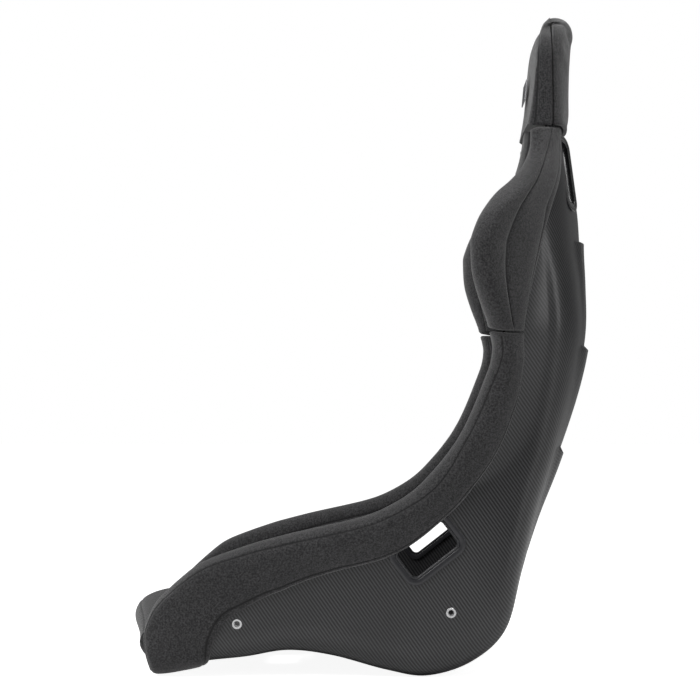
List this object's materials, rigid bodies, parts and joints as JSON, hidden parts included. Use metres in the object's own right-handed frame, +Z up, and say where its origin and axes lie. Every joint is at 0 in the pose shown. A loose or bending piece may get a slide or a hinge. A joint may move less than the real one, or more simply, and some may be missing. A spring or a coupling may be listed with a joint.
{
  "type": "racing bucket seat",
  "caption": "Fixed-back racing bucket seat with a laminated shell, padded side bolsters, shoulder wings, head roll, harness slots and side-mount inserts.",
  "frame": {"origin": "centre of the bounding box in plan, on the floor plane under the shell", "axes": "+X towards the driver's left, -Y towards the front of the seat, +Z up"},
  "size_m": [0.5544, 0.6518, 0.9239],
  "materials": {
    "laminate": "gloss twill weave",
    "insert_metal": "bright zinc",
    "plate_metal": "satin",
    "bezel_plastic": "fine grain",
    "gloss_bezel": "gloss",
    "knit_fabric": "fine knit",
    "cushion_fabric": "open mesh knit",
    "hook_tape": "hook tape",
    "badge_metal": "satin"
  },
  "bodies": {
    "root": {"shell": "laminate", "side_insert_front_left": "insert_metal", "side_insert_front_right": "insert_metal", "side_insert_rear_left": "insert_metal", "side_insert_rear_right": "insert_metal", "side_plate_left": "plate_metal", "side_plate_right": "plate_metal", "lap_belt_bezel_left": "bezel_plastic", "lap_belt_bezel_right": "bezel_plastic", "lap_belt_inner_frame_left": "bezel_plastic", "lap_belt_inner_frame_right": "bezel_plastic", "shoulder_belt_bezel_left": "gloss_bezel", "shoulder_belt_bezel_right": "gloss_bezel", "shoulder_belt_inner_frame_left": "bezel_plastic", "shoulder_belt_inner_frame_right": "bezel_plastic", "crotch_strap_bezel": "bezel_plastic", "crotch_strap_inner_frame": "bezel_plastic", "front_roll": "knit_fabric", "thigh_bolster_left": "knit_fabric", "thigh_bolster_right": "knit_fabric", "shoulder_wing_left": "knit_fabric", "shoulder_wing_right": "knit_fabric", "hip_liner_left": "knit_fabric", "hip_liner_right": "knit_fabric", "torso_liner_left": "knit_fabric", "torso_liner_right": "knit_fabric", "seat_cushion": "cushion_fabric", "lumbar_cushion": "cushion_fabric", "back_cushion": "cushion_fabric", "seat_cushion_strip": "hook_tape", "lumbar_cushion_strip": "hook_tape", "head_rear_cover": "knit_fabric", "head_cushion": "knit_fabric", "head_badge": "badge_metal"}
  },
  "joints": []
}
